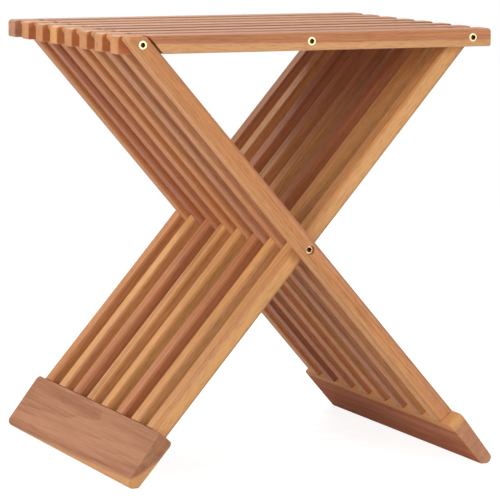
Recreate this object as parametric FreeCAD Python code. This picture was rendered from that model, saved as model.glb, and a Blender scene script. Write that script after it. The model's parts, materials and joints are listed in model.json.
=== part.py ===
"""Folding stool of hardwood slats: two crossed legs and a seat that folds up in the middle.

Millimetres, +Z up, +X along the seat slats, +Y from the front layer to the back one.
The origin is on the floor under the middle of the stool, which looks almost the same from
front and back: the half with leg A and seat B, turned by 180 degrees about Z, is the other
half, except that seat A's slats sit a little lower and that their free ends lie on a skewed line.
"""
import FreeCAD
import Part
import math
import os

# Overall sizes
SEAT_HEIGHT = 450.0
HINGE_HALF_SPAN = 181.5        # from the middle of the stool to each upper rod
SEAT_B_OVERHANG = 20.5         # seat slat past its rod
SEAT_A_OVERHANG_FRONT = 18.5
SEAT_A_OVERHANG_BACK = 21.0
SEAT_A_DROP = 1.1              # seat A's slats lie this far under seat B's
CROSSING_HEIGHT = 230.0        # scissor rod above the floor

# Layers of slats, counted from the front
FRONT_LAYER = 1
LAYERS = 16
LAYER_PITCH = 21.5
SLAT_THICKNESS = 20.5

# Slat sections and ends
SEAT_SLAT_HEIGHT = 18.5
LEG_SLAT_WIDTH = 18.0
LEG_TOP_DROP = 1.0             # leg tops lie this far under the seat's top
LEG_TOP_OUTER_RADIUS = 7.0     # blunt corner of a leg's top
LEG_TIP_RADIUS = 3.2           # pointed corner of a leg's top
SEAT_TIP_RADIUS = 1.4          # pointed corner of a cut seat slat end
SLAT_CORNER_RADIUS = 2.0
SEAT_END_RADIUS = 4.0          # upper corner of a seat slat's free end
LEG_EASING = 3.0
SEAT_EASING = 1.3
END_GAP = 1.5                  # between a cut seat slat end and the leg that it leans on

# Foot rails
FOOT_LENGTH = 363.0
FOOT_THICKNESS = 18.0
FOOT_TOP = 239.0               # along the leg, from the scissor rod to the rail's top edge
FOOT_FACE_TILT = 3.6           # degrees by which the outer face leans in from the leg's line
FOOT_TOE_RADIUS = 6.0
FOOT_HEEL_RADIUS = 3.0
FOOT_END_RADIUS = 6.0
FOOT_EASING = 1.4

# Tenons of the leg slats in the foot rails
TENON_LENGTH = 22.0
TENON_WIDTH = 10.0
TENON_THICKNESS = 14.0
GLUE_GAP = 0.05
MORTISE_SPARE_DEPTH = 0.5

# Cross rods and the barrel nuts on their ends
ROD_DIAMETER = 6.0
ROD_CHAMFER = 0.5
RUNNING_CLEARANCE = 0.05
NUT_DIAMETER = 9.4
NUT_LENGTH = 12.0
NUT_RIM_RADIUS = 0.7
NUT_RECESS = 0.3
SCISSOR_NUT_RECESS = 4.0
HEX_SIDES = 6
HEX_WIDTH = 5.0
HEX_DEPTH = 4.0
THREAD_DEPTH = 6.5
THREAD_SPARE_DEPTH = 0.5

# Limits for picking edges
SHARP_ANGLE = math.radians(20.0)
PLANE_TOLERANCE = 0.01

# Worked out from the driving dimensions
HINGE_HEIGHT = SEAT_HEIGHT - SEAT_SLAT_HEIGHT / 2
LEG_TOP = SEAT_HEIGHT - LEG_TOP_DROP
LEG_ANGLE = math.atan2(HINGE_HEIGHT - CROSSING_HEIGHT, HINGE_HALF_SPAN)
LEG_COS = math.cos(LEG_ANGLE)
LEG_SIN = math.sin(LEG_ANGLE)
DEPTH_AXIS = FreeCAD.Vector(0, 1, 0)
DOWN_LEG = FreeCAD.Vector(LEG_COS, 0, -LEG_SIN)
OUT_OF_LEG = FreeCAD.Vector(LEG_SIN, 0, LEG_COS)
HALF_WIDTH = LEG_SLAT_WIDTH / 2
HALF_FOOT = FOOT_THICKNESS / 2
LEG_A_LAYERS = range(FRONT_LAYER, LAYERS, 2)

# Rod axes as x and z
ROD_A = (-HINGE_HALF_SPAN, HINGE_HEIGHT)
ROD_B = (HINGE_HALF_SPAN, HINGE_HEIGHT)
ROD_SCISSOR = (0.0, CROSSING_HEIGHT)
ROD_SEAT = (0.0, HINGE_HEIGHT)


def layer_middle(layer):
    """Depth of a layer's middle."""
    return (layer - (LAYERS + 1) / 2) * LAYER_PITCH


def layer_front(layer):
    """Depth of the front face of a layer's slats."""
    return layer_middle(layer) - SLAT_THICKNESS / 2


def layer_back(layer):
    """Depth of the back face of a layer's slats."""
    return layer_middle(layer) + SLAT_THICKNESS / 2


def along_at_height(height, across):
    """Distance down leg A from the scissor rod at which a line along the leg has this height."""
    return (CROSSING_HEIGHT - height + across * LEG_COS) / LEG_SIN


def on_leg(along, across, depth=0.0):
    """Point given by its distances down leg A and outwards from the leg's middle line."""
    crossing = FreeCAD.Vector(ROD_SCISSOR[0], depth, ROD_SCISSOR[1])
    return crossing + DOWN_LEG * along + OUT_OF_LEG * across


def on_leg_at_height(height, across):
    """Point of a line along leg A at a given height."""
    return on_leg(along_at_height(height, across), across)


def rounded_wire(corners):
    """Closed flat wire through (point, radius) corners, each rounded by a tangent arc."""
    starts = []
    ends = []
    edges = []
    for index, (point, radius) in enumerate(corners):
        to_last = (corners[index - 1][0] - point).normalize()
        to_next = (corners[(index + 1) % len(corners)][0] - point).normalize()
        half_angle = to_last.getAngle(to_next) / 2
        reach = radius / math.tan(half_angle)
        starts.append(point + to_last * reach)
        ends.append(point + to_next * reach)
        if radius > 0:
            bisector = (to_last + to_next).normalize()
            middle = point + bisector * (radius / math.sin(half_angle) - radius)
            edges.append(Part.Arc(starts[-1], middle, ends[-1]).toShape())
    for index, end in enumerate(ends):
        edges.append(Part.LineSegment(end, starts[(index + 1) % len(starts)]).toShape())
    return Part.Wire(Part.__sortEdges__(edges))


def prism(corners, direction):
    """Solid swept straight from a rounded outline."""
    return Part.Face(rounded_wire(corners)).extrude(direction)


def layer_prism(corners, front, back):
    """Solid between two depths, from corners drawn at depth 0."""
    solid = prism(corners, DEPTH_AXIS * (back - front))
    solid.translate(DEPTH_AXIS * front)
    return solid


def cross_cylinder(axis, radius, front, back):
    """Cylinder along the depth, at the x and z of a rod axis."""
    base = FreeCAD.Vector(axis[0], front, axis[1])
    return Part.makeCylinder(radius, back - front, base, DEPTH_AXIS)


def sharp_edges(solid):
    """Edges at which two faces meet at an angle."""
    found = []
    for edge in solid.Edges:
        middle = edge.valueAt((edge.FirstParameter + edge.LastParameter) / 2)
        normals = []
        for face in solid.ancestorsOfType(edge, Part.Face):
            normals.append(face.normalAt(*face.Surface.parameter(middle)))
        if len(normals) == 2 and normals[0].getAngle(normals[1]) > SHARP_ANGLE:
            found.append(edge)
    return found


def lies_across(edge, point, normal):
    """Whether an edge lies in the plane through a point."""
    return all(abs((vertex.Point - point).dot(normal)) < PLANE_TOLERANCE for vertex in edge.Vertexes)


def turned(solid):
    """The same piece on the other half of the stool."""
    return solid.rotated(FreeCAD.Vector(0, 0, 0), FreeCAD.Vector(0, 0, 1), 180)


def drilled(solid, layer, axis, recess):
    """Slat with a rod hole, and in the front layer a counterbore for the barrel nut."""
    front = layer_front(layer)
    hole_radius = ROD_DIAMETER / 2 + RUNNING_CLEARANCE
    solid = solid.cut(cross_cylinder(axis, hole_radius, front, layer_back(layer)))
    if layer == FRONT_LAYER:
        nut_radius = NUT_DIAMETER / 2 + RUNNING_CLEARANCE
        solid = solid.cut(cross_cylinder(axis, nut_radius, front, front + recess + NUT_LENGTH))
    return solid


def leg_box(along_from, along_to, half_across, front, back):
    """Square-edged block laid along leg A."""
    corners = [
        (on_leg(along_from, half_across), 0),
        (on_leg(along_to, half_across), 0),
        (on_leg(along_to, -half_across), 0),
        (on_leg(along_from, -half_across), 0),
    ]
    return layer_prism(corners, front, back)


def leg_slat(layer):
    """Slat of leg A: top cut level with the seat, lower end tenoned into the foot rail."""
    middle = layer_middle(layer)
    slat = layer_prism([
        (on_leg_at_height(LEG_TOP, -HALF_WIDTH), LEG_TIP_RADIUS),
        (on_leg_at_height(LEG_TOP, HALF_WIDTH), LEG_TOP_OUTER_RADIUS),
        (on_leg(FOOT_TOP, HALF_WIDTH), 0),
        (on_leg(FOOT_TOP, -HALF_WIDTH), 0),
    ], layer_front(layer), layer_back(layer))
    shoulder = on_leg(FOOT_TOP, 0)
    eased = [edge for edge in sharp_edges(slat) if not lies_across(edge, shoulder, DOWN_LEG)]
    slat = slat.makeFillet(LEG_EASING, eased)
    slat = slat.fuse(leg_box(FOOT_TOP, FOOT_TOP + TENON_LENGTH, TENON_WIDTH / 2,
                             middle - TENON_THICKNESS / 2, middle + TENON_THICKNESS / 2))
    slat = drilled(slat, layer, ROD_A, NUT_RECESS)
    return drilled(slat, layer, ROD_SCISSOR, SCISSOR_NUT_RECESS)


def seat_slat(layer, overhang, top):
    """Slat of seat B: square right end, left end cut to lie along leg A's upper edge."""
    right_end = HINGE_HALF_SPAN + overhang
    underside = top - SEAT_SLAT_HEIGHT
    cut_line = HALF_WIDTH + END_GAP
    slat = layer_prism([
        (on_leg_at_height(top, cut_line), SEAT_TIP_RADIUS),
        (FreeCAD.Vector(right_end, 0, top), SEAT_END_RADIUS),
        (FreeCAD.Vector(right_end, 0, underside), SLAT_CORNER_RADIUS),
        (on_leg_at_height(underside, cut_line), SLAT_CORNER_RADIUS),
    ], layer_front(layer), layer_back(layer))
    slat = slat.makeFillet(SEAT_EASING, sharp_edges(slat))
    slat = drilled(slat, layer, ROD_SEAT, NUT_RECESS)
    return drilled(slat, layer, ROD_B, NUT_RECESS)


def foot_outline():
    """Section of leg A's foot rail: square top, flat on the floor, outer face leaning in to the toe."""
    heel = on_leg_at_height(0, -HALF_FOOT)
    outer_top = on_leg(FOOT_TOP, HALF_FOOT)
    tilt = math.radians(FOOT_FACE_TILT)
    to_toe = DOWN_LEG * math.cos(tilt) - OUT_OF_LEG * math.sin(tilt)
    toe = outer_top + to_toe * (outer_top.z / -to_toe.z)
    return [
        (on_leg(FOOT_TOP, -HALF_FOOT), 0),
        (outer_top, 0),
        (toe, FOOT_TOE_RADIUS),
        (heel, FOOT_HEEL_RADIUS),
    ]


def foot_rail():
    """Board across the lower end of leg A, with rounded upper ends and a mortise for each slat."""
    middle = (layer_middle(FRONT_LAYER) + layer_middle(LEG_A_LAYERS[-1])) / 2
    front = middle - FOOT_LENGTH / 2
    back = middle + FOOT_LENGTH / 2
    past_floor = along_at_height(0, HALF_FOOT) + FOOT_THICKNESS
    rail = layer_prism(foot_outline(), front, back)
    face = [
        (on_leg(FOOT_TOP, -FOOT_THICKNESS, front), FOOT_END_RADIUS),
        (on_leg(FOOT_TOP, -FOOT_THICKNESS, back), FOOT_END_RADIUS),
        (on_leg(past_floor, -FOOT_THICKNESS, back), 0),
        (on_leg(past_floor, -FOOT_THICKNESS, front), 0),
    ]
    rail = rail.common(prism(face, OUT_OF_LEG * (2 * FOOT_THICKNESS)))
    rail = rail.makeFillet(FOOT_EASING, sharp_edges(rail))
    for layer in LEG_A_LAYERS:
        half_depth = TENON_THICKNESS / 2 + GLUE_GAP
        rail = rail.cut(leg_box(FOOT_TOP, FOOT_TOP + TENON_LENGTH + MORTISE_SPARE_DEPTH,
                                TENON_WIDTH / 2 + GLUE_GAP,
                                layer_middle(layer) - half_depth, layer_middle(layer) + half_depth))
    return rail


def rod_end(recess):
    """Depth at which a rod starts inside its front barrel nut."""
    return layer_front(FRONT_LAYER) + recess + NUT_LENGTH - THREAD_DEPTH + THREAD_SPARE_DEPTH


def rod(axis, front, back):
    """Steel rod with chamfered ends."""
    bar = cross_cylinder(axis, ROD_DIAMETER / 2, front, back)
    return bar.makeChamfer(ROD_CHAMFER, sharp_edges(bar))


def seat_rod_stretches():
    """Stretches of the middle rod inside seat B's slats, one for each slat."""
    starts = [rod_end(NUT_RECESS)] + [layer_front(layer) for layer in LEG_A_LAYERS[1:]]
    stretches = []
    for layer, start in zip(LEG_A_LAYERS, starts):
        stretches.append(rod(ROD_SEAT, start, layer_back(layer)))
    return Part.makeCompound(stretches)


def barrel_nut(axis, recess):
    """Front barrel nut: round sleeve with a hexagon socket outside and a threaded hole inside."""
    outer = layer_front(FRONT_LAYER) + recess
    inner = outer + NUT_LENGTH
    sleeve = cross_cylinder(axis, NUT_DIAMETER / 2, outer, inner)
    mouth = FreeCAD.Vector(axis[0], outer, axis[1])
    rim = [edge for edge in sharp_edges(sleeve) if lies_across(edge, mouth, DEPTH_AXIS)]
    sleeve = sleeve.makeFillet(NUT_RIM_RADIUS, rim)
    hole_radius = ROD_DIAMETER / 2 + RUNNING_CLEARANCE
    sleeve = sleeve.cut(cross_cylinder(axis, hole_radius, inner - THREAD_DEPTH, inner))
    corner_radius = HEX_WIDTH / 2 / math.cos(math.pi / HEX_SIDES)
    hexagon = []
    for corner in range(HEX_SIDES):
        angle = 2 * math.pi * corner / HEX_SIDES
        point = FreeCAD.Vector(axis[0] + corner_radius * math.cos(angle), 0,
                               axis[1] + corner_radius * math.sin(angle))
        hexagon.append((point, 0))
    return sleeve.cut(layer_prism(hexagon, outer, outer + HEX_DEPTH))


def build():
    """All pieces of the stool by node name."""
    nodes = {}
    count = len(LEG_A_LAYERS)
    for number, layer in enumerate(LEG_A_LAYERS, start=1):
        leg = leg_slat(layer)
        from_back = count + 1 - number
        nodes[f"leg_a_slat_{number}"] = leg
        nodes[f"leg_b_slat_{from_back}"] = turned(leg)
        nodes[f"seat_b_slat_{number}"] = seat_slat(layer, SEAT_B_OVERHANG, SEAT_HEIGHT)
        skew = (from_back - 1) / (count - 1)
        overhang = SEAT_A_OVERHANG_FRONT + skew * (SEAT_A_OVERHANG_BACK - SEAT_A_OVERHANG_FRONT)
        seat_a_slat = seat_slat(layer, overhang, SEAT_HEIGHT - SEAT_A_DROP)
        nodes[f"seat_a_slat_{from_back}"] = turned(seat_a_slat)
    nodes["foot_rail_a"] = foot_rail()
    nodes["foot_rail_b"] = turned(nodes["foot_rail_a"])
    nodes["rod_a"] = rod(ROD_A, rod_end(NUT_RECESS), -rod_end(NUT_RECESS))
    nodes["rod_b"] = turned(nodes["rod_a"])
    nodes["rod_scissor"] = rod(ROD_SCISSOR, rod_end(SCISSOR_NUT_RECESS), -rod_end(SCISSOR_NUT_RECESS))
    nodes["rod_seat_b"] = seat_rod_stretches()
    nodes["rod_seat_a"] = turned(nodes["rod_seat_b"])
    nodes["nut_a_front"] = barrel_nut(ROD_A, NUT_RECESS)
    nodes["nut_b_front"] = barrel_nut(ROD_B, NUT_RECESS)
    nodes["nut_seat_front"] = barrel_nut(ROD_SEAT, NUT_RECESS)
    nodes["nut_scissor_front"] = barrel_nut(ROD_SCISSOR, SCISSOR_NUT_RECESS)
    nodes["nut_b_back"] = turned(nodes["nut_a_front"])
    nodes["nut_a_back"] = turned(nodes["nut_b_front"])
    nodes["nut_seat_back"] = turned(nodes["nut_seat_front"])
    nodes["nut_scissor_back"] = turned(nodes["nut_scissor_front"])
    return nodes


os.makedirs("parts", exist_ok=True)
for name, shape in build().items():
    print(name, "valid" if shape.isValid() else "INVALID", round(shape.Volume), "mm3")
    shape.exportStep(f"parts/{name}.step")
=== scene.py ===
"""Looks of a folding stool: oiled hardwood slats, brass barrel nuts, steel rods and a white studio."""
import json
import math
import random
from collections import namedtuple

import bmesh
import bpy
from bpy.props import FloatProperty, FloatVectorProperty, PointerProperty
from mathutils import Euler, Matrix, Vector


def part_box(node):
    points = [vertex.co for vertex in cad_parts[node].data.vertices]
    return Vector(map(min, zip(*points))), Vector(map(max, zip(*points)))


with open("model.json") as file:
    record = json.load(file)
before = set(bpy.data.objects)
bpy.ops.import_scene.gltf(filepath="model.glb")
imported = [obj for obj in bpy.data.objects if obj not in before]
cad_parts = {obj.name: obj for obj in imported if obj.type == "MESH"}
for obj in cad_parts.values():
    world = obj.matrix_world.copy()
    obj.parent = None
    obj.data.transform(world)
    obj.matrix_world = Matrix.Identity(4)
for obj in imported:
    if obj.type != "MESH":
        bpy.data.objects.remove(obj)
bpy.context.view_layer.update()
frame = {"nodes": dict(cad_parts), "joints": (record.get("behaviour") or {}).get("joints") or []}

bl_info = {
    "name": "Folding stool finish",
    "version": (1, 0, 0),
    "blender": (4, 5, 0),
    "location": "3D View > Sidebar > Stool",
    "description": "Oiled timber, brass nuts, steel rods and a white studio for a folding stool",
    "category": "Object",
}

MILLIMETRE = 0.001
WHITE = (1.0, 1.0, 1.0, 1.0)

# Where the frame puts the rods and how far the legs lean
JOINTS = {joint["name"]: joint for joint in frame["joints"]}
CROSSING = Vector(JOINTS["fold"]["pos_m"])
LEFT_HINGE = Vector(JOINTS["seat_a_hinge"]["pos_m"])
RIGHT_HINGE = Vector(JOINTS["seat_b_hinge"]["pos_m"])
SEAT_PIVOT = (LEFT_HINGE + RIGHT_HINGE) / 2
LEG_ANGLE = math.atan2(RIGHT_HINGE.z - CROSSING.z, RIGHT_HINGE.x - CROSSING.x)
ROD_AXES = {"a": LEFT_HINGE, "b": RIGHT_HINGE, "scissor": CROSSING, "seat": SEAT_PIVOT}
RODS = ("rod_a", "rod_b", "rod_scissor", "rod_seat_a", "rod_seat_b")

# Turns that bring the grain of each family of slats, of each rail and of the rods along X
LEG_TURNS = {"leg_a": -LEG_ANGLE, "leg_b": LEG_ANGLE + math.pi}
RAIL_TURNS = {"foot_rail_a": (0.0, -LEG_ANGLE, math.radians(-90.0)),
              "foot_rail_b": (0.0, LEG_ANGLE, math.radians(90.0))}
ROD_TURN = (0.0, 0.0, math.radians(-90.0))

# Which board each piece was cut from, slats front to back
LEG_BOARDS = {
    "leg_a": ("honey", "honey", "rose", "honey", "honey", "amber", "russet", "honey"),
    "leg_b": ("golden", "golden", "amber", "golden", "golden", "amber", "golden", "honey"),
}
SEAT_BOARDS = {
    "seat_a": ("honey", "honey", "honey", "honey", "golden", "honey", "honey", "clay"),
    "seat_b": ("amber", "rose", "honey", "rose", "honey", "rose", "honey", "rose"),
}
RAIL_BOARDS = {"foot_rail_a": "russet", "foot_rail_b": "clay"}

# Painted shade on the slat sides in the gaps, front to back, and dark heart plus painted shade under the
# seat
PAINTED_GAP_SHADE = {
    "leg_a": (0.0, 0.0, 0.0, 0.0, 0.5, 0.2, 0.4, 0.3),
    "leg_b": (0.0, 0.0, 0.3, 0.0, 0.2, 0.2, 0.2, 0.0),
    "seat_a": (0.7, 0.7, 0.7, 0.7, 0.7, 0.7, 0.7, 0.0),
    "seat_b": (0.0, 0.4, 1.0, 1.0, 0.7, 0.7, 0.6, 0.6),
}
HEART_AND_SHADE_TOPS = {
    "leg_a": (0.0, 0.0, 0.0, 0.0, 0.0, 0.0, 0.1, 0.2),
    "leg_b": (0.0, 0.1, 0.5, 0.8, 0.9, 0.5, 0.2, 0.4),
}

# Finish of a piece: least roughness, specular level, strength of the growth rings and of the pores,
# width of the edge band, which colours its edges (rubbed pale with a painted highlight, or painted
# shade), the painted shade on its sides in the gaps and its sawn ends take, and how much of the last
Finish = namedtuple("Finish", "dullness level figure pores edge_width edge_colour side_colour "
                              "end_colour end_share")
LEG_FINISH = Finish(dullness=0.55, level=0.30, figure=0.6, pores=0.24, edge_width=0.0045,
                    edge_colour="oiled_edge", side_colour="side", end_colour="sapwood", end_share=0.30)
SEAT_FINISH = Finish(dullness=0.42, level=0.33, figure=0.6, pores=0.24, edge_width=0.0018,
                     edge_colour="edge", side_colour="side", end_colour="sapwood", end_share=0.10)
RAIL_FINISH = Finish(dullness=0.70, level=0.15, figure=1.0, pores=0.05, edge_width=0.0018,
                     edge_colour="edge", side_colour="side", end_colour="edge", end_share=0.35)
# Seat B's slats take a darker painted shade in the gaps, which draws dark lines across the seat
SEAT_FINISHES = {"seat_a": SEAT_FINISH,
                 "seat_b": SEAT_FINISH._replace(side_colour="gap")}
RAIL_FINISHES = {"foot_rail_a": RAIL_FINISH,
                 "foot_rail_b": RAIL_FINISH._replace(end_colour="dark_end", end_share=0.25)}
NO_SHOULDER = 1.0
NO_EDGES = (1.0, 1.0)

# How a piece was cut from its log: the heart's place across the piece and its slope along the grain,
# the ring width, the radius where sapwood starts, and how streaky the piece is
Cut = namedtuple("Cut", "heart lean ring_width sapwood streaks")
NO_SAPWOOD = 1.0

# Pieces whose figure stands out: the front slats, dark slats in both legs and the rails.
# The heart is given in depth and across for a slat, and up the leg and outwards for a rail.
CHOSEN_CUTS = {
    "seat_b_slat_1": Cut((0.010, 0.065), (0.0, -0.008), 0.0030, 0.0690, 0.15),
    "leg_a_slat_1": Cut((0.020, 0.080), (0.0, 0.004), 0.0040, 0.0905, 0.0),
    "leg_b_slat_1": Cut((0.015, -0.050), (0.0, 0.004), 0.0030, 0.0520, 0.10),
    "leg_a_slat_7": Cut((0.030, 0.040), (0.0, 0.010), 0.0028, NO_SAPWOOD, 0.95),
    "leg_a_slat_8": Cut((0.020, 0.050), (0.0, 0.006), 0.0030, NO_SAPWOOD, 0.80),
    "leg_b_slat_3": Cut((0.040, 0.030), (0.0, 0.010), 0.0026, NO_SAPWOOD, 0.80),
    "leg_b_slat_5": Cut((0.050, -0.020), (0.0, -0.008), 0.0030, NO_SAPWOOD, 0.75),
    "leg_b_slat_6": Cut((0.030, 0.050), (0.0, 0.006), 0.0028, NO_SAPWOOD, 0.60),
    "foot_rail_a": Cut((-0.105, 0.012), (0.010, 0.0), 0.0026, 0.1270, 0.0),
    "foot_rail_b": Cut((0.0118, 0.0580), (0.015, 0.020), 0.0042, 0.0692, 0.0),
}

# Least and most of what is drawn at random for the cuts of the other slats
HEART_DISTANCES = (0.03, 0.11)
LEANS = (-0.03, 0.03)
RING_WIDTHS = (0.0022, 0.0042)
STREAK_SHARES = (0.0, 0.5)
SEEDS = (0.0, 100.0)

# Patterns in the grain: counts per metre along and across it, and the noise levels where each starts
# to show and where it is full
Pattern = namedtuple("Pattern", "along across start full", defaults=(0.0, 1.0))
STRAY = Pattern(7.0, 45.0)
BAND = Pattern(2.2, 70.0, 0.35, 0.65)
FIBRE = Pattern(14.0, 520.0, 0.3, 0.7)
PORE = Pattern(85.0, 1100.0, 0.48, 0.64)
STREAK = Pattern(1.4, 60.0, 0.5, 0.72)
DARK_HEART = STREAK._replace(start=0.36, full=0.6)
BLUSH = Pattern(3.0, 110.0, 0.45, 0.7)
STEEL_LINE = Pattern(8.0, 3000.0)

# Shifts of the seed that keep the streaks and the blush apart from the bands, and the steel's own seed
STREAK_SEED = 17.0
BLUSH_SEED = 31.0
STEEL_SEED = 5.0

# Stretches of a year's growth where the late wood darkens and where the next year's ring begins
LATE_WOOD = (0.35, 0.92)
NEXT_YEAR = (0.94, 1.0)

# How far each pattern takes the wood from its pale to its deep colour, and how much of that is taken off
BAND_DEPTH = 0.45
RING_DEPTH = 0.34
YEAR_DEPTH = 0.30
FIBRE_DEPTH = 0.55
PALE_START = 0.34

# Greatest shares of a colour laid over the wood, how much sapwood keeps the end colour off, and the
# least share of the dark heart between its streaks
BLUSH_SHARE = 0.45
SAPWOOD_SHARE = 0.7
GLUE_SHARE = 0.7
PALE_END_SHARE = 0.85
HEART_LEAST = 0.5

# Where a colour fades in: past the sapwood's radius, into a side, below the top edge, off the glued
# shoulder and up a leg from the crossing rod, in metres, and how squarely a sawn end faces the grain
SAPWOOD_FADE = (-0.8 * MILLIMETRE, 1.4 * MILLIMETRE)
SIDE_FADE = (0.2 * MILLIMETRE, 0.8 * MILLIMETRE)
TOP_FADE = (0.2 * MILLIMETRE, 0.7 * MILLIMETRE)
GLUE_FADE = (0.2 * MILLIMETRE, 0.9 * MILLIMETRE)
UNDER_SEAT_FADE = (0.02, 0.22)
END_FADE = (0.5, 0.9)

# Relief of the grain, and the roughness that fibres, pores and sawn ends add
FIBRE_HEIGHT = 0.05 * MILLIMETRE
PORE_HEIGHT = -0.10 * MILLIMETRE
RING_HEIGHT = -0.03 * MILLIMETRE
RELIEF_STRENGTH = 0.6
GRAIN_ROUGHNESS = 0.12

# Turning lines and tarnish spots on the brass per metre, the spots' noise levels and greatest share
TURNING_LINES = 9000.0
TARNISH_SPOTS = 700.0
SPOT_FADE = (0.5, 0.8)
SPOT_SHARE = 0.35

# Roughness of clean brass and steel, and what the socket's film, the lines and the spots add
BRASS_ROUGHNESS = 0.2
FILM_ROUGHNESS = 0.35
TURNING_ROUGHNESS = 0.15
SPOT_ROUGHNESS = 0.4
STEEL_ROUGHNESS = 0.25
STEEL_LINE_ROUGHNESS = 0.2
STEEL_LINE_SHADE = 0.8

# Place and side length of each lamp in metres. All look at the stool's middle.
Lamp = namedtuple("Lamp", "place size")
LAMPS = {
    "left": Lamp((-2.76, -0.87, 1.0), 2.6),
    "front": Lamp((0.60, -2.83, 1.0), 1.4),
    "right": Lamp((1.92, -0.90, 2.34), 1.0),
    "back": Lamp((0.0, 2.12, 2.34), 1.0),
}
LAMP_AIM = SEAT_PIVOT / 2
FLOOR_DROP = 0.2 * MILLIMETRE
FLOOR_ROUGHNESS = 0.9

# Sockets of a Mix node that mixes colours
MIX_FACTOR, MIX_FIRST, MIX_SECOND, MIX_RESULT = 0, 6, 7, 2


def colour(name, description, value):
    """Colour setting."""
    return FloatVectorProperty(name=name, description=description, default=value, subtype="COLOR",
                               size=3, min=0.0, max=1.0)


def length(name, description, value):
    """Length setting in metres."""
    return FloatProperty(name=name, description=description, default=value, min=0.0,
                         subtype="DISTANCE", unit="LENGTH", precision=5)


def place(name, description, value):
    """Point setting in metres."""
    return FloatVectorProperty(name=name, description=description, default=value, size=3,
                               subtype="TRANSLATION", unit="LENGTH")


def share(name, description, value):
    """Setting from 0 to 1."""
    return FloatProperty(name=name, description=description, default=value, min=0.0, max=1.0,
                         subtype="FACTOR")


def power(name, description, value):
    """Lamp power setting in watts."""
    return FloatProperty(name=name, description=description, default=value, min=0.0, unit="POWER")


class TimberSettings(bpy.types.PropertyGroup):
    """Colours and grain of the slats and foot rails."""
    honey_pale: colour("Honey, pale", "Pale wood of the honey boards", (0.64, 0.285, 0.108))
    honey_deep: colour("Honey, deep", "Deep wood of the honey boards", (0.43, 0.155, 0.052))
    golden_pale: colour("Golden, pale", "Pale wood of the golden boards", (0.74, 0.375, 0.130))
    golden_deep: colour("Golden, deep", "Deep wood of the golden boards", (0.55, 0.225, 0.068))
    rose_pale: colour("Rose, pale", "Pale wood of the pinkish boards", (0.56, 0.255, 0.128))
    rose_deep: colour("Rose, deep", "Deep wood of the pinkish boards", (0.37, 0.138, 0.064))
    amber_pale: colour("Amber, pale", "Pale wood of the amber boards", (0.54, 0.212, 0.081))
    amber_deep: colour("Amber, deep", "Deep wood of the amber boards", (0.36, 0.120, 0.044))
    clay_pale: colour("Clay, pale", "Pale wood of the clay boards", (0.48, 0.232, 0.130))
    clay_deep: colour("Clay, deep", "Deep wood of the clay boards", (0.33, 0.136, 0.072))
    russet_pale: colour("Russet, pale", "Pale wood of the reddish boards", (0.49, 0.168, 0.070))
    russet_deep: colour("Russet, deep", "Deep wood of the reddish boards", (0.28, 0.083, 0.037))
    streak: colour("Dark streak", "Dark mineral streaks and open pores", (0.10, 0.033, 0.018))
    sapwood: colour("Sapwood", "Pale wood from the outside of the log", (0.72, 0.375, 0.150))
    dark_end: colour("Dark end", "End grain that soaked up more oil", (0.20, 0.085, 0.045))
    blush: colour("Blush", "Pinkish tint in bands of all boards", (0.60, 0.28, 0.170))
    # Painted shade, with a reddish painted bounce light, for the sides of the slats in the gaps
    side: colour("Side", "Oil and dust on the sides of the slats in the gaps", (0.50, 0.150, 0.046))
    # Painted shade for the gaps between the seat slats
    gap: colour("Gap", "Dust in the gaps between the seat slats", (0.22, 0.08, 0.04))
    # Rubbed pale seat edges with a painted highlight on them; also the pale ends of one foot rail
    edge: colour("Edge", "Long edges of the seat rubbed pale", (0.68, 0.41, 0.26))
    # Painted shade on the rounded edges of the legs
    oiled_edge: colour("Oiled edge", "Rounded edges of the legs, dark with oil", (0.26, 0.085, 0.034))
    # Dark heart deepened by painted shade at the tops of the legs under the seat
    heartwood_and_shade: colour("Heartwood", "Dark heart at the tops of the legs", (0.31, 0.104, 0.060))
    wander: length("Ring wander", "How far the growth rings stray from circles", 0.005)
    # Share of the edge colour: wear and a painted highlight on the seat, painted shade on the legs
    edge_wear_and_shading: share("Edge wear", "How much the worn edges differ from the wood", 0.50)
    leg_width: length("Leg slat width", "Width of a leg slat across its grain", 0.0180)
    shoulder: length("Shoulder", "Distance of the leg shoulders from the crossing rod", 0.239)


class MetalSettings(bpy.types.PropertyGroup):
    """Colours of the nuts and rods."""
    brass: colour("Brass", "Polished brass of the barrel nuts", (0.76, 0.57, 0.32))
    tarnish: colour("Tarnish", "Brown film in the sockets", (0.10, 0.055, 0.02))
    steel: colour("Steel", "Drawn steel of the rods", (0.55, 0.55, 0.56))
    socket_radius: length("Socket radius", "Radius round a nut's axis that holds its socket", 0.0030)
    film_start: length("Film start", "Depth in the socket where the tarnish starts", 0.0002)
    film_full: length("Film full", "Depth in the socket where the tarnish is full", 0.0010)


class StageSettings(bpy.types.PropertyGroup):
    """Camera, lamps and floor."""
    lens: FloatProperty(name="Lens", description="Focal length of the camera", default=218.5,
                        min=1.0, unit="CAMERA")
    camera_place: place("Camera", "Place of the camera", (-1.26657, -2.93026, 0.62988))
    camera_aim: place("Camera aim", "Point in the middle of the picture", (-0.0014, -0.0209, 0.2119))
    camera_roll: FloatProperty(name="Camera roll", description="Tilt of the camera to its left",
                               default=math.radians(0.219), subtype="ANGLE", unit="ROTATION")
    floor_size: length("Floor size", "Side of the square floor", 3.6)
    floor_grey: share("Floor grey", "Grey of the floor that lights the stool from below", 0.75)
    floor_seen: share("Floor seen", "Grey of the floor that the camera sees under its white", 0.35)
    floor_white: share("Floor white", "White that the camera sees on top of the floor's grey", 0.87)
    ambient: share("Ambient", "Strength of the light from all round", 0.05)
    left_power: power("Left lamp", "Power of the large lamp at the left", 84.0)
    front_power: power("Front lamp", "Power of the lamp at the front", 37.0)
    right_power: power("Right lamp", "Power of the lamp high at the right", 26.0)
    back_power: power("Back lamp", "Power of the lamp high at the back", 45.0)


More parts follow.
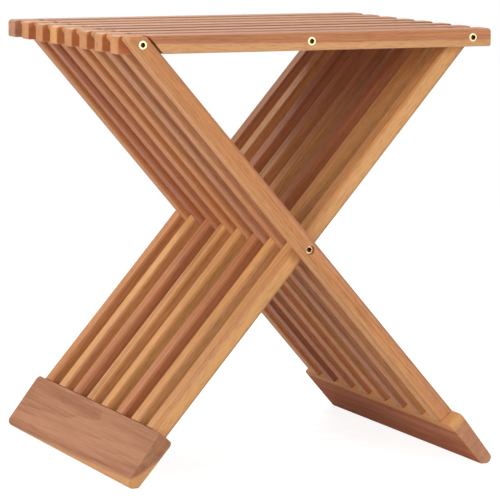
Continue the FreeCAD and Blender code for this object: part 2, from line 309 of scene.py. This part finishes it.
def add_node(tree, kind, inputs=(), **options):
    """Adds a node, sets its options and fills its inputs with values or links."""
    node = tree.nodes.new(kind)
    for name, value in options.items():
        setattr(node, name, value)
    for name, value in dict(inputs).items():
        if isinstance(value, bpy.types.NodeSocket):
            tree.links.new(value, node.inputs[name])
        else:
            node.inputs[name].default_value = value
    return node


def calc(tree, operation, *values, clamp=False):
    """Result of a Math node."""
    node = add_node(tree, "ShaderNodeMath", enumerate(values), operation=operation, use_clamp=clamp)
    return node.outputs[0]


def one_less(tree, value):
    """1 less a value."""
    return calc(tree, "SUBTRACT", 1.0, value)


def vector_calc(tree, operation, *values):
    """Vector result of a Vector Math node."""
    node = add_node(tree, "ShaderNodeVectorMath", enumerate(values), operation=operation)
    return node.outputs["Vector"]


def scaled(tree, vector, factor):
    """Vector times a number."""
    node = add_node(tree, "ShaderNodeVectorMath", {0: vector, "Scale": factor}, operation="SCALE")
    return node.outputs["Vector"]


def vector_length(tree, vector):
    """Length of a vector."""
    return add_node(tree, "ShaderNodeVectorMath", {0: vector}, operation="LENGTH").outputs["Value"]


def separated(tree, vector):
    """X, Y and Z of a vector."""
    return add_node(tree, "ShaderNodeSeparateXYZ", {0: vector}).outputs


def smooth_step(tree, value, low, high):
    """Smooth rise from 0 at low to 1 at high."""
    node = add_node(tree, "ShaderNodeMapRange", {"Value": value, "From Min": low, "From Max": high},
                    interpolation_type="SMOOTHSTEP")
    return node.outputs["Result"]


def weighted_sum(tree, *terms):
    """Sum of values, each times its weight."""
    total = 0.0
    for value, weight in terms:
        total = calc(tree, "MULTIPLY_ADD", value, weight, total)
    return total


def mixed(tree, factor, first, second):
    """Colour between two colours."""
    node = add_node(tree, "ShaderNodeMix", {MIX_FACTOR: factor, MIX_FIRST: first, MIX_SECOND: second},
                    data_type="RGBA")
    return node.outputs[MIX_RESULT]


def grain_noise(tree, vector, seed, pattern, detail=2.0, output="Fac"):
    """Noise drawn out along the grain, with a pattern's counts per metre."""
    stretched = vector_calc(tree, "MULTIPLY", vector, (pattern.along, pattern.across, pattern.across))
    node = add_node(tree, "ShaderNodeTexNoise",
                    {"Vector": stretched, "W": seed, "Scale": 1.0, "Detail": detail, "Roughness": 0.6},
                    noise_dimensions="4D")
    return node.outputs[output]


def shown(tree, noise, pattern):
    """How much of a pattern shows at a noise level."""
    return smooth_step(tree, noise, pattern.start, pattern.full)


def opaque(rgb):
    """Colour with full alpha."""
    return (*rgb, 1.0)


def grey(level):
    """Opaque grey."""
    return opaque([level] * 3)


def new_group(name, inputs, outputs):
    """Shader node group with its input and output nodes."""
    group = bpy.data.node_groups.new(name, "ShaderNodeTree")
    for socket, kind in inputs.items():
        group.interface.new_socket(socket, in_out="INPUT", socket_type=f"NodeSocket{kind}")
    for socket, kind in outputs.items():
        group.interface.new_socket(socket, in_out="OUTPUT", socket_type=f"NodeSocket{kind}")
    return group, group.nodes.new("NodeGroupInput").outputs, group.nodes.new("NodeGroupOutput").inputs


def heart_distance(group, given, strayed):
    """Distance of a strayed point from the heart of the log."""
    along = separated(group, given["Vector"])["X"]
    heart = vector_calc(group, "ADD", given["Heart"], scaled(group, given["Lean"], along))
    radial = vector_calc(group, "SUBTRACT", strayed, heart)
    return vector_length(group, vector_calc(group, "MULTIPLY", radial, (0.0, 1.0, 1.0)))


def growth_rings(group, given, radius):
    """Dark line of each year's ring, and the year's own tone."""
    rings = calc(group, "DIVIDE", radius, given["Ring Width"])
    growth = calc(group, "FRACT", rings)
    late_wood = smooth_step(group, growth, *LATE_WOOD)
    ring_line = calc(group, "SUBTRACT", late_wood, smooth_step(group, growth, *NEXT_YEAR))
    year = calc(group, "ADD", calc(group, "FLOOR", rings), given["Seed"])
    tone = add_node(group, "ShaderNodeTexWhiteNoise", {"W": year}, noise_dimensions="1D")
    return ring_line, tone.outputs["Value"]


def edge_band(group, given, inside):
    """1 on the long edges, where both distances to the faces are small."""
    nearness = []
    for distance in inside:
        nearness.append(one_less(group, smooth_step(group, distance, 0.0, given["Edge Width"])))
    return calc(group, "MULTIPLY", *nearness)


def gap_side(group, given, half_height, into_side):
    """1 on the sides that face a gap, below the worn top edge: where the painted shade goes."""
    side = one_less(group, smooth_step(group, into_side, *SIDE_FADE))
    under_top = calc(group, "SUBTRACT", half_height, separated(group, given["Vector"])["Z"])
    return calc(group, "MULTIPLY", side, smooth_step(group, under_top, *TOP_FADE))


def timber_group():
    """Solid wood with its grain along X: rings about the heart, fibres, pores, streaks, wear, and painted
    shade and highlights.
    """
    name = "Sawn timber"
    if name in bpy.data.node_groups:
        return bpy.data.node_groups[name]
    group, given, result = new_group(name, {
        "Vector": "Vector", "Normal": "Vector", "Seed": "Float", "Heart": "Vector", "Lean": "Vector",
        "Ring Width": "Float", "Wander": "Float", "Sapwood Radius": "Float", "Streaks": "Float",
        "Half Section": "Vector", "Edge Width": "Float", "Edge Wear": "Float", "Shoulder": "Float",
        "Dullness": "Float", "Figure": "Float", "Pores": "Float", "End Share": "Float",
        "Side Grime": "Float", "Dark Top": "Float", "Pale": "Color", "Deep": "Color", "Blush": "Color",
        "Side Colour": "Color", "Edge Colour": "Color", "End Colour": "Color", "Heartwood": "Color",
        "Streak Colour": "Color", "Sapwood Colour": "Color",
    }, {"Colour": "Color", "Roughness": "Float", "Height": "Float"})
    vector, seed = given["Vector"], given["Seed"]
    along = separated(group, vector)["X"]

    # Growth rings that stray from circles
    stray = grain_noise(group, vector, seed, STRAY, output="Color")
    stray = vector_calc(group, "SUBTRACT", stray, (0.5, 0.5, 0.5))
    strayed = vector_calc(group, "ADD", vector, scaled(group, stray, given["Wander"]))
    radius = heart_distance(group, given, strayed)
    ring_line, year_tone = growth_rings(group, given, radius)

    # Bands and fibres between the pale and the deep colour
    band = shown(group, grain_noise(group, strayed, seed, BAND), BAND)
    fibre = grain_noise(group, vector, seed, FIBRE, detail=3.0)
    figure = weighted_sum(group, (ring_line, RING_DEPTH), (year_tone, YEAR_DEPTH))
    figure = calc(group, "MULTIPLY", given["Figure"], figure)
    deepness = weighted_sum(group, (band, BAND_DEPTH), (figure, 1.0),
                            (shown(group, fibre, FIBRE), FIBRE_DEPTH))
    deepness = calc(group, "SUBTRACT", deepness, PALE_START, clamp=True)
    wood = mixed(group, deepness, given["Pale"], given["Deep"])

    # Pinkish bands and sapwood
    blush = grain_noise(group, strayed, calc(group, "ADD", seed, BLUSH_SEED), BLUSH)
    blush = calc(group, "MULTIPLY", shown(group, blush, BLUSH), BLUSH_SHARE)
    wood = mixed(group, blush, wood, given["Blush"])
    sap = smooth_step(group, calc(group, "SUBTRACT", radius, given["Sapwood Radius"]), *SAPWOOD_FADE)
    wood = mixed(group, calc(group, "MULTIPLY", sap, SAPWOOD_SHARE), wood, given["Sapwood Colour"])

    # Dark heart with painted shade under the seat, mineral streaks and pores
    streak_noise = grain_noise(group, strayed, calc(group, "ADD", seed, STREAK_SEED), STREAK)
    dark_heart = calc(group, "MULTIPLY_ADD", shown(group, streak_noise, DARK_HEART), 1.0 - HEART_LEAST,
                      HEART_LEAST)
    up_the_leg = calc(group, "MULTIPLY", along, -1.0)
    under_seat = calc(group, "MULTIPLY", smooth_step(group, up_the_leg, *UNDER_SEAT_FADE), given["Dark Top"])
    wood = mixed(group, calc(group, "MULTIPLY", dark_heart, under_seat), wood, given["Heartwood"])
    streak = calc(group, "MULTIPLY", shown(group, streak_noise, STREAK), given["Streaks"])
    wood = mixed(group, streak, wood, given["Streak Colour"])
    pores = shown(group, grain_noise(group, vector, seed, PORE), PORE)
    wood = mixed(group, calc(group, "MULTIPLY", pores, given["Pores"]), wood, given["Streak Colour"])

    # Long edges: rubbed pale with a painted highlight on the seat, painted shade on the legs
    section = separated(group, vector_calc(group, "ABSOLUTE", vector))
    half = separated(group, given["Half Section"])
    inside = [calc(group, "SUBTRACT", half[axis], section[axis]) for axis in ("Y", "Z")]
    edge = calc(group, "MULTIPLY", edge_band(group, given, inside), given["Edge Wear"])
    wood = mixed(group, edge, wood, given["Edge Colour"])

    # Sawn ends take the oil in their own way, least of all in the sapwood
    facing = calc(group, "ABSOLUTE", separated(group, given["Normal"])["X"])
    end = smooth_step(group, facing, *END_FADE)
    oiled_end = one_less(group, calc(group, "MULTIPLY", sap, PALE_END_SHARE))
    end_share = calc(group, "MULTIPLY", end, given["End Share"])
    wood = mixed(group, calc(group, "MULTIPLY", end_share, oiled_end), wood, given["End Colour"])

    # Painted shade, with reddish painted bounce light, on the sides in the gaps
    grime = calc(group, "MULTIPLY", gap_side(group, given, half["Z"], inside[0]), given["Side Grime"])
    wood = mixed(group, grime, wood, given["Side Colour"])

    # Dark glue line where a slat's shoulders meet a rail
    from_shoulder = calc(group, "SUBTRACT", given["Shoulder"], along)
    glue = one_less(group, smooth_step(group, from_shoulder, *GLUE_FADE))
    wood = mixed(group, calc(group, "MULTIPLY", glue, GLUE_SHARE), wood, given["Streak Colour"])

    roughness = weighted_sum(group, *((mask, GRAIN_ROUGHNESS) for mask in (fibre, pores, end)))
    relief = weighted_sum(group, (fibre, FIBRE_HEIGHT), (pores, PORE_HEIGHT), (ring_line, RING_HEIGHT))
    group.links.new(wood, result["Colour"])
    group.links.new(calc(group, "ADD", roughness, given["Dullness"]), result["Roughness"])
    group.links.new(relief, result["Height"])
    return group


def new_material(name):
    """Material with its node tree and Principled shader."""
    material = bpy.data.materials.new(name)
    material.use_nodes = True
    return material, material.node_tree, material.node_tree.nodes["Principled BSDF"]


def object_mapping(tree, rotation, middle):
    """Object coordinates turned along the grain about the middle of a piece, and the turned normal."""
    coordinates = tree.nodes.new("ShaderNodeTexCoord")
    location = -(Euler(rotation).to_matrix() @ Vector(middle))
    point = add_node(tree, "ShaderNodeMapping", {"Vector": coordinates.outputs["Object"],
                                                 "Location": location, "Rotation": rotation})
    normal = add_node(tree, "ShaderNodeMapping", {"Vector": coordinates.outputs["Normal"],
                                                  "Rotation": rotation}, vector_type="VECTOR")
    return point.outputs["Vector"], normal.outputs["Vector"]


def oiled_timber(settings, name, board, cut, seed, rotation, middle, half_section, finish,
                 shoulder=NO_SHOULDER, side_grime=0.0, dark_top=0.0):
    """Oiled wood of one piece, cut from a board."""
    material, tree, shader = new_material(name)
    point, normal = object_mapping(tree, rotation, middle)
    timber = add_node(tree, "ShaderNodeGroup", {
        "Vector": point, "Normal": normal, "Seed": seed,
        "Heart": (0.0, *cut.heart), "Lean": (0.0, *cut.lean),
        "Ring Width": cut.ring_width, "Wander": settings.wander,
        "Sapwood Radius": cut.sapwood, "Streaks": cut.streaks,
        "Half Section": (0.0, *half_section), "Shoulder": shoulder,
        "Edge Width": finish.edge_width, "Edge Wear": settings.edge_wear_and_shading,
        "Dullness": finish.dullness, "Figure": finish.figure, "Pores": finish.pores,
        "End Share": finish.end_share, "Side Grime": side_grime, "Dark Top": dark_top,
        "Pale": opaque(getattr(settings, f"{board}_pale")),
        "Deep": opaque(getattr(settings, f"{board}_deep")),
        "Side Colour": opaque(getattr(settings, finish.side_colour)),
        "Edge Colour": opaque(getattr(settings, finish.edge_colour)),
        "End Colour": opaque(getattr(settings, finish.end_colour)),
        "Blush": opaque(settings.blush), "Heartwood": opaque(settings.heartwood_and_shade),
        "Streak Colour": opaque(settings.streak), "Sapwood Colour": opaque(settings.sapwood),
    }, node_tree=timber_group())
    bump = add_node(tree, "ShaderNodeBump", {"Height": timber.outputs["Height"], "Distance": 1.0,
                                             "Strength": RELIEF_STRENGTH})
    tree.links.new(timber.outputs["Colour"], shader.inputs["Base Color"])
    tree.links.new(timber.outputs["Roughness"], shader.inputs["Roughness"])
    tree.links.new(bump.outputs["Normal"], shader.inputs["Normal"])
    shader.inputs["Specular IOR Level"].default_value = finish.level
    return material


def give(node_name, material):
    """Puts a material on a piece of the frame."""
    node = frame["nodes"][node_name]
    node.data.materials.clear()
    node.data.materials.append(material)


def random_cut(draw):
    """Cut with its heart at a random side of the slat."""
    side = draw.uniform(0.0, 2.0 * math.pi)
    distance = draw.uniform(*HEART_DISTANCES)
    return Cut(heart=(distance * math.cos(side), distance * math.sin(side)),
               lean=(draw.uniform(*LEANS), draw.uniform(*LEANS)),
               ring_width=draw.uniform(*RING_WIDTHS), sapwood=NO_SAPWOOD,
               streaks=draw.uniform(*STREAK_SHARES))


def finish_slat(settings, name, board, turn, middle, half_section, finish, **extras):
    """Oils one slat with its own cut and grain."""
    draw = random.Random(name)
    seed = draw.uniform(*SEEDS)
    cut = CHOSEN_CUTS.get(name) or random_cut(draw)
    give(name, oiled_timber(settings, f"{name}_wood", board, cut, seed, (0.0, turn, 0.0), middle,
                            half_section, finish, **extras))


class STOOL_OT_leg_slats(bpy.types.Operator):
    """Oil the sixteen leg slats"""
    bl_idname = "stool.leg_slats"
    bl_label = "Leg slats"

    def execute(self, context):
        settings = context.scene.stool_timber
        for family, boards in LEG_BOARDS.items():
            slats = zip(boards, PAINTED_GAP_SHADE[family], HEART_AND_SHADE_TOPS[family])
            for number, (board, grime, dark_top) in enumerate(slats, start=1):
                name = f"{family}_slat_{number}"
                low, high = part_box(name)
                middle = (CROSSING.x, (low.y + high.y) / 2, CROSSING.z)
                half_section = ((high.y - low.y) / 2, settings.leg_width / 2)
                finish_slat(settings, name, board, LEG_TURNS[family], middle, half_section, LEG_FINISH,
                            shoulder=settings.shoulder, side_grime=grime, dark_top=dark_top)
        return {"FINISHED"}


class STOOL_OT_seat_slats(bpy.types.Operator):
    """Oil the sixteen seat slats"""
    bl_idname = "stool.seat_slats"
    bl_label = "Seat slats"

    def execute(self, context):
        settings = context.scene.stool_timber
        for family, boards in SEAT_BOARDS.items():
            for number, (board, grime) in enumerate(zip(boards, PAINTED_GAP_SHADE[family]), start=1):
                name = f"{family}_slat_{number}"
                low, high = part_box(name)
                middle = (SEAT_PIVOT.x, *((low + high) / 2).yz)
                half_section = tuple((high - low).yz / 2)
                finish_slat(settings, name, board, 0.0, middle, half_section, SEAT_FINISHES[family],
                            side_grime=grime)
        return {"FINISHED"}


class STOOL_OT_foot_rails(bpy.types.Operator):
    """Oil the two foot rails"""
    bl_idname = "stool.foot_rails"
    bl_label = "Foot rails"

    def execute(self, context):
        settings = context.scene.stool_timber
        for name, rotation in RAIL_TURNS.items():
            low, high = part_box(name)
            seed = random.Random(name).uniform(*SEEDS)
            give(name, oiled_timber(settings, f"{name}_wood", RAIL_BOARDS[name], CHOSEN_CUTS[name], seed,
                                    rotation, (low + high) / 2, NO_EDGES, RAIL_FINISHES[name]))
        return {"FINISHED"}


class STOOL_OT_rods(bpy.types.Operator):
    """Give the cross rods drawn steel"""
    bl_idname = "stool.rods"
    bl_label = "Cross rods"

    def execute(self, context):
        settings = context.scene.stool_metal
        material, tree, shader = new_material("drawn_steel")
        point, _ = object_mapping(tree, ROD_TURN, (0.0, 0.0, 0.0))
        lines = grain_noise(tree, point, STEEL_SEED, STEEL_LINE)
        tone = mixed(tree, lines, opaque(settings.steel * STEEL_LINE_SHADE), opaque(settings.steel))
        roughness = calc(tree, "MULTIPLY_ADD", lines, STEEL_LINE_ROUGHNESS, STEEL_ROUGHNESS)
        tree.links.new(tone, shader.inputs["Base Color"])
        tree.links.new(roughness, shader.inputs["Roughness"])
        shader.inputs["Metallic"].default_value = 1.0
        for rod in RODS:
            give(rod, material)
        return {"FINISHED"}


def turned_brass(settings, name, face_middle):
    """Turned brass of one nut, tarnished in the socket behind the middle of its face."""
    material, tree, shader = new_material(name)
    point, _ = object_mapping(tree, (0.0, 0.0, 0.0), face_middle)
    radius = vector_length(tree, vector_calc(tree, "MULTIPLY", point, (1.0, 0.0, 1.0)))
    depth = calc(tree, "ABSOLUTE", separated(tree, point)["Y"])
    socket = calc(tree, "LESS_THAN", radius, settings.socket_radius)
    film = calc(tree, "MULTIPLY", socket, smooth_step(tree, depth, settings.film_start, settings.film_full))
    turning = add_node(tree, "ShaderNodeTexNoise", {"W": radius, "Scale": TURNING_LINES, "Detail": 2.0},
                       noise_dimensions="1D").outputs["Fac"]
    spots = add_node(tree, "ShaderNodeTexNoise", {"Vector": point, "Scale": TARNISH_SPOTS, "Detail": 3.0})
    dullness = calc(tree, "MULTIPLY", smooth_step(tree, spots.outputs["Fac"], *SPOT_FADE), SPOT_SHARE)
    brass = mixed(tree, dullness, opaque(settings.brass), opaque(settings.tarnish))
    tree.links.new(mixed(tree, film, brass, opaque(settings.tarnish)), shader.inputs["Base Color"])
    roughness = weighted_sum(tree, (film, FILM_ROUGHNESS), (turning, TURNING_ROUGHNESS),
                             (dullness, SPOT_ROUGHNESS))
    tree.links.new(calc(tree, "ADD", roughness, BRASS_ROUGHNESS), shader.inputs["Roughness"])
    shader.inputs["Metallic"].default_value = 1.0
    return material


class STOOL_OT_barrel_nuts(bpy.types.Operator):
    """Give the barrel nuts turned brass with tarnished sockets"""
    bl_idname = "stool.barrel_nuts"
    bl_label = "Barrel nuts"

    def execute(self, context):
        settings = context.scene.stool_metal
        for rod, axis in ROD_AXES.items():
            for end in ("front", "back"):
                name = f"nut_{rod}_{end}"
                low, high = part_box(name)
                face = low.y if end == "front" else high.y
                give(name, turned_brass(settings, f"{name}_brass", (axis.x, face, axis.z)))
        return {"FINISHED"}


def backdrop_rays(tree):
    """1 for rays that should see the plain white background."""
    rays = tree.nodes.new("ShaderNodeLightPath").outputs
    seen = calc(tree, "MAXIMUM", rays["Is Camera Ray"], rays["Is Glossy Ray"])
    return calc(tree, "MAXIMUM", seen, rays["Is Transmission Ray"])


def white_floor(settings):
    """Floor that looks white, keeps the shadow and lights the stool from below."""
    material, tree, shader = new_material("white_floor")
    seen = backdrop_rays(tree)
    tone = mixed(tree, seen, grey(settings.floor_grey), grey(settings.floor_seen))
    tree.links.new(tone, shader.inputs["Base Color"])
    shader.inputs["Roughness"].default_value = FLOOR_ROUGHNESS
    shader.inputs["Specular IOR Level"].default_value = 0.0
    shader.inputs["Emission Color"].default_value = WHITE
    tree.links.new(calc(tree, "MULTIPLY", seen, settings.floor_white), shader.inputs["Emission Strength"])
    return material


def add_floor(scene, settings):
    """Square floor just below the foot rails."""
    shape = bmesh.new()
    bmesh.ops.create_grid(shape, x_segments=1, y_segments=1, size=settings.floor_size / 2)
    bmesh.ops.translate(shape, verts=shape.verts, vec=(0.0, 0.0, -FLOOR_DROP))
    mesh = bpy.data.meshes.new("floor")
    shape.to_mesh(mesh)
    shape.free()
    floor = bpy.data.objects.new("floor", mesh)
    scene.collection.objects.link(floor)
    floor.data.materials.append(white_floor(settings))


def add_surroundings(scene, settings):
    """Room that looks white and gives a little light from all round."""
    scene.world = bpy.data.worlds.new("white_room")
    scene.world.use_nodes = True
    tree = scene.world.node_tree
    glow = mixed(tree, backdrop_rays(tree), grey(settings.ambient), WHITE)
    tree.links.new(glow, tree.nodes["Background"].inputs["Color"])


def looking_at(location, target, roll=0.0):
    """Matrix of a lamp or camera at a place, looking at a target."""
    turn = (Vector(target) - Vector(location)).to_track_quat("-Z", "Y").to_matrix().to_4x4()
    return Matrix.Translation(location) @ turn @ Matrix.Rotation(roll, 4, "Z")


def add_lamp(scene, name, lamp, watts):
    """Square soft lamp."""
    light = bpy.data.lights.new(name, "AREA")
    light.size = lamp.size
    light.energy = watts
    holder = bpy.data.objects.new(name, light)
    holder.matrix_world = looking_at(lamp.place, LAMP_AIM)
    scene.collection.objects.link(holder)


def add_camera(scene, settings):
    """Camera at the photograph's viewing angle."""
    camera = bpy.data.cameras.new("camera")
    camera.lens = settings.lens
    holder = bpy.data.objects.new("camera", camera)
    holder.matrix_world = looking_at(settings.camera_place, settings.camera_aim, settings.camera_roll)
    scene.collection.objects.link(holder)
    scene.camera = holder


class STOOL_OT_stage(bpy.types.Operator):
    """Set up the floor, the white surroundings, the lamps and the camera"""
    bl_idname = "stool.stage"
    bl_label = "Stage"

    def execute(self, context):
        scene = context.scene
        settings = scene.stool_stage
        scene.view_settings.view_transform = "Standard"
        add_floor(scene, settings)
        add_surroundings(scene, settings)
        for side, lamp in LAMPS.items():
            add_lamp(scene, f"{side}_lamp", lamp, getattr(settings, f"{side}_power"))
        add_camera(scene, settings)
        return {"FINISHED"}


class STOOL_PT_finish(bpy.types.Panel):
    """Sidebar panel with the steps of the finish"""
    bl_label = "Folding stool"
    bl_idname = "STOOL_PT_finish"
    bl_space_type = "VIEW_3D"
    bl_region_type = "UI"
    bl_category = "Stool"

    def draw(self, context):
        for step in STEPS:
            self.layout.operator(step.bl_idname)


STEPS = (STOOL_OT_leg_slats, STOOL_OT_seat_slats, STOOL_OT_foot_rails, STOOL_OT_rods,
         STOOL_OT_barrel_nuts, STOOL_OT_stage)
SETTINGS = {"stool_timber": TimberSettings, "stool_metal": MetalSettings, "stool_stage": StageSettings}


def register():
    """Registers the settings, the steps and the panel."""
    for cls in (*SETTINGS.values(), *STEPS, STOOL_PT_finish):
        bpy.utils.register_class(cls)
    for name, group in SETTINGS.items():
        setattr(bpy.types.Scene, name, PointerProperty(type=group))


def unregister():
    """Takes the settings, the steps and the panel away again."""
    for name in SETTINGS:
        delattr(bpy.types.Scene, name)
    for cls in reversed((*SETTINGS.values(), *STEPS, STOOL_PT_finish)):
        bpy.utils.unregister_class(cls)


def main():
    """Finishes the stool step by step."""
    register()
    bpy.ops.stool.leg_slats()
    bpy.ops.stool.seat_slats()
    bpy.ops.stool.foot_rails()
    bpy.ops.stool.rods()
    bpy.ops.stool.barrel_nuts()
    bpy.ops.stool.stage()


if __name__ == "__main__":
    main()
